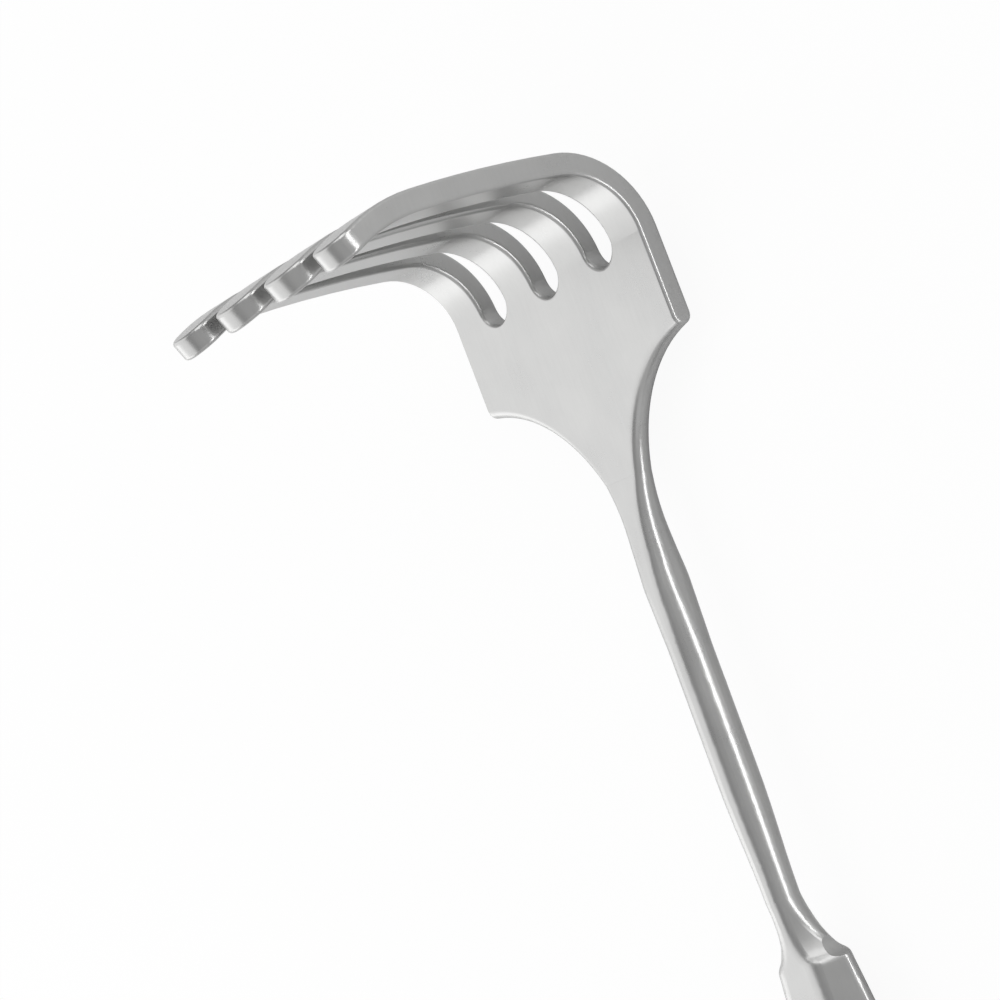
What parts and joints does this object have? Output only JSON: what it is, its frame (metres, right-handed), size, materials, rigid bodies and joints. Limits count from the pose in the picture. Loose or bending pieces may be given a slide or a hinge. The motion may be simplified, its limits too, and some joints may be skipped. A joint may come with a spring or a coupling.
{
  "type": "rake retractor",
  "caption": "Heavy hand-held surgical rake with blunt prongs bent square to a broad plate, on a round shank and a long eight-sided hollow handle.",
  "frame": {"origin": "middle of the surface it lies on, under its bounding box, with the instrument on its back and the prongs up", "axes": "+X across the rake and the handle, +Y along the instrument from the handle to the prongs, +Z from its back to its front, up the prongs"},
  "size_m": [0.0502, 0.2502, 0.0591],
  "materials": {
    "rake_steel": "satin",
    "handle_steel": "satin",
    "braze_metal": "dull"
  },
  "bodies": {
    "root": {"rake": "rake_steel", "handle_front_shell": "handle_steel", "handle_rear_shell": "handle_steel", "braze_ring": "braze_metal"}
  },
  "joints": []
}
